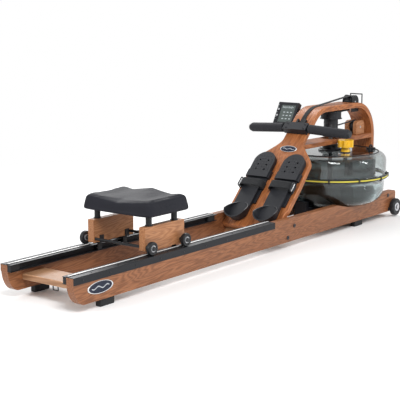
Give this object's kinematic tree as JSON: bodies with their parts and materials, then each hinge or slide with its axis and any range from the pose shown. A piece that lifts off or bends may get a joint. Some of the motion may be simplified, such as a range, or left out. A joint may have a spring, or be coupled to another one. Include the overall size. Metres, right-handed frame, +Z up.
{
  "type": "water rowing machine",
  "caption": "Wooden water-resistance rowing machine with a rolling padded seat, sliding heel plates, belt-drawn handle, clear paddle tank and tilting monitor.",
  "frame": {"origin": "centre of the overall box at floor level", "axes": "+X towards the tank end, +Y to the sitting rower's left, +Z up"},
  "size_m": [2.08, 0.506, 0.5475],
  "materials": {
    "rail_wood": "satin stained ash",
    "plank_wood": "satin pale timber",
    "board_wood": "satin bent laminate",
    "carriage_wood": "satin timber",
    "track_metal": "black anodised",
    "bright_steel": "zinc plated",
    "bolt_steel": "blackened bolts",
    "dark_steel": "black powder coat",
    "black_rubber": "moulded rubber",
    "tyre_rubber": "moulded roller tyres",
    "black_plastic": "moulded plastic",
    "grip_foam": "foam grips",
    "seat_cover": "padded vinyl",
    "strap_web": "woven webbing",
    "belt_web": "woven drive belt",
    "cord_rubber": "braided elastic cord",
    "clear_shell": "clear moulded shell",
    "yellow_plastic": "yellow moulding",
    "gasket_rubber": "yellow seal",
    "badge_face": "navy oval with a silver rim",
    "silver_plastic": "silver moulding",
    "screen_face": "grey green display"
  },
  "bodies": {
    "frame": {"rail_left": "rail_wood", "rail_right": "rail_wood", "tracks": "track_metal", "track_stops": "black_rubber", "rear_plank": "plank_wood", "lift_hook": "bolt_steel", "foot_cross": "plank_wood", "footboard": "board_wood", "neck_board": "board_wood", "front_arch": "board_wood", "front_cross": "plank_wood", "deck_plank": "board_wood", "rubber_feet": "black_rubber", "frame_bolts": "bolt_steel", "badges": "badge_face", "footplates": "black_plastic", "foot_straps": "strap_web", "strap_buckles": "black_plastic", "tank_cradle": "black_plastic", "tank_pads": "black_rubber", "tank_bowl": "clear_shell", "tank_dome": "clear_shell", "tank_gasket": "gasket_rubber", "ring_clips": "black_plastic", "tank_hub": "black_plastic", "bungee_cord": "cord_rubber", "pulley_cheeks": "carriage_wood", "axle_bolts": "bright_steel", "roller_bracket": "dark_steel", "wire_guard": "dark_steel", "belt_run": "belt_web", "belt_return": "belt_web", "handle_cradle": "black_plastic", "monitor_arm": "dark_steel"},
    "seat_carriage": {"seat_pad": "seat_cover", "seat_frame": "dark_steel", "carriage_sides": "carriage_wood", "carriage_rods": "dark_steel", "guide_brackets": "dark_steel"},
    "rear_roller_pair": {"rear_rollers": "tyre_rubber"},
    "front_roller_pair": {"front_rollers": "tyre_rubber"},
    "rear_guide_pair": {"rear_guides": "black_plastic"},
    "front_guide_pair": {"front_guides": "black_plastic"},
    "handle": {"handle_bar": "dark_steel", "handle_grips": "grip_foam", "handle_clamp": "black_plastic"},
    "roller_at_top": {"top_roller": "black_plastic"},
    "drum": {"belt_drum": "black_plastic"},
    "cord_pulley": {"bungee_pulley": "black_plastic"},
    "paddle": {"impeller": "silver_plastic"},
    "knob": {"adjuster_knob": "yellow_plastic"},
    "plug": {"fill_plug": "black_plastic"},
    "heel_left": {"heel_plate_left": "black_plastic"},
    "heel_right": {"heel_plate_right": "black_plastic"},
    "monitor": {"monitor_case": "black_plastic", "monitor_screen": "screen_face"},
    "upper_button": {"button_upper": "silver_plastic"},
    "lower_button": {"button_lower": "silver_plastic"},
    "left_wheel": {"wheel_left": "tyre_rubber"},
    "right_wheel": {"wheel_right": "tyre_rubber"}
  },
  "joints": [
    {"name": "seat_slide", "type": "slide", "parent": "frame", "child": "seat_carriage", "axis": [1, 0, 0], "range_m": [-0.3585, 0.4855]},
    {"name": "rear_rollers_spin", "type": "hinge", "parent": "seat_carriage", "child": "rear_roller_pair", "pos_m": [-0.661, 0, 0.1404], "axis": [0, 1, 0], "continuous": true},
    {"name": "front_rollers_spin", "type": "hinge", "parent": "seat_carriage", "child": "front_roller_pair", "pos_m": [-0.483, 0, 0.1404], "axis": [0, 1, 0], "continuous": true},
    {"name": "rear_guides_spin", "type": "hinge", "parent": "seat_carriage", "child": "rear_guide_pair", "pos_m": [-0.631, 0, 0.105], "axis": [0, 1, 0], "continuous": true},
    {"name": "front_guides_spin", "type": "hinge", "parent": "seat_carriage", "child": "front_guide_pair", "pos_m": [-0.5, 0, 0.105], "axis": [0, 1, 0], "continuous": true},
    {"name": "handle_pull", "type": "slide", "parent": "frame", "child": "handle", "axis": [-1, 0, 0], "range_m": [0, 1.1], "stiffness_N_per_m": 25, "springref_m": -0.6},
    {"name": "top_roller_spin", "type": "hinge", "parent": "frame", "child": "roller_at_top", "pos_m": [0.885, 0, 0.514], "axis": [0, 1, 0], "continuous": true},
    {"name": "drum_spin", "type": "hinge", "parent": "frame", "child": "drum", "pos_m": [0.719, 0, 0.427], "axis": [0, 0, 1], "continuous": true},
    {"name": "cord_pulley_spin", "type": "hinge", "parent": "frame", "child": "cord_pulley", "pos_m": [0.926, 0, 0.4], "axis": [0, 1, 0], "continuous": true},
    {"name": "paddle_spin", "type": "hinge", "parent": "frame", "child": "paddle", "pos_m": [0.719, 0, 0.152], "axis": [0, 0, 1], "continuous": true},
    {"name": "knob_turn", "type": "hinge", "parent": "frame", "child": "knob", "pos_m": [0.697, -0.088, 0.333], "axis": [0, 0, 1], "range_deg": [0, 270]},
    {"name": "plug_lift", "type": "slide", "parent": "frame", "child": "plug", "axis": [0, 0, 1], "range_m": [0, 0.03]},
    {"name": "heel_left_slide", "type": "slide", "parent": "frame", "child": "heel_left", "axis": [0.7071, 0, 0.7071], "range_m": [-0.03, 0.022]},
    {"name": "heel_right_slide", "type": "slide", "parent": "frame", "child": "heel_right", "axis": [0.7071, 0, 0.7071], "range_m": [-0.03, 0.022]},
    {"name": "monitor_tilt", "type": "hinge", "parent": "frame", "child": "monitor", "pos_m": [0.56044, 0.111, 0.4605], "axis": [0, 1, 0], "range_deg": [-20, 25]},
    {"name": "upper_button_press", "type": "slide", "parent": "monitor", "child": "upper_button", "axis": [0.866, 0, -0.5], "range_m": [0, 0.0012], "stiffness_N_per_m": 300, "springref_m": -0.001},
    {"name": "lower_button_press", "type": "slide", "parent": "monitor", "child": "lower_button", "axis": [0.866, 0, -0.5], "range_m": [0, 0.0012], "stiffness_N_per_m": 300, "springref_m": -0.001},
    {"name": "left_wheel_spin", "type": "hinge", "parent": "frame", "child": "left_wheel", "pos_m": [1.002, 0.175, 0.043], "axis": [0, 1, 0], "continuous": true},
    {"name": "right_wheel_spin", "type": "hinge", "parent": "frame", "child": "right_wheel", "pos_m": [1.002, -0.175, 0.043], "axis": [0, 1, 0], "continuous": true}
  ],
  "couplings": [
    {"joint": "rear_rollers_spin", "follows": "seat_slide", "rad_per_m": 43.478},
    {"joint": "front_rollers_spin", "follows": "seat_slide", "rad_per_m": 43.478},
    {"joint": "rear_guides_spin", "follows": "seat_slide", "rad_per_m": -105.26},
    {"joint": "front_guides_spin", "follows": "seat_slide", "rad_per_m": -105.26},
    {"joint": "top_roller_spin", "follows": "handle_pull", "rad_per_m": -36.9},
    {"joint": "drum_spin", "follows": "handle_pull", "rad_per_m": -22.173},
    {"joint": "cord_pulley_spin", "follows": "handle_pull", "rad_per_m": -10.548}
  ]
}
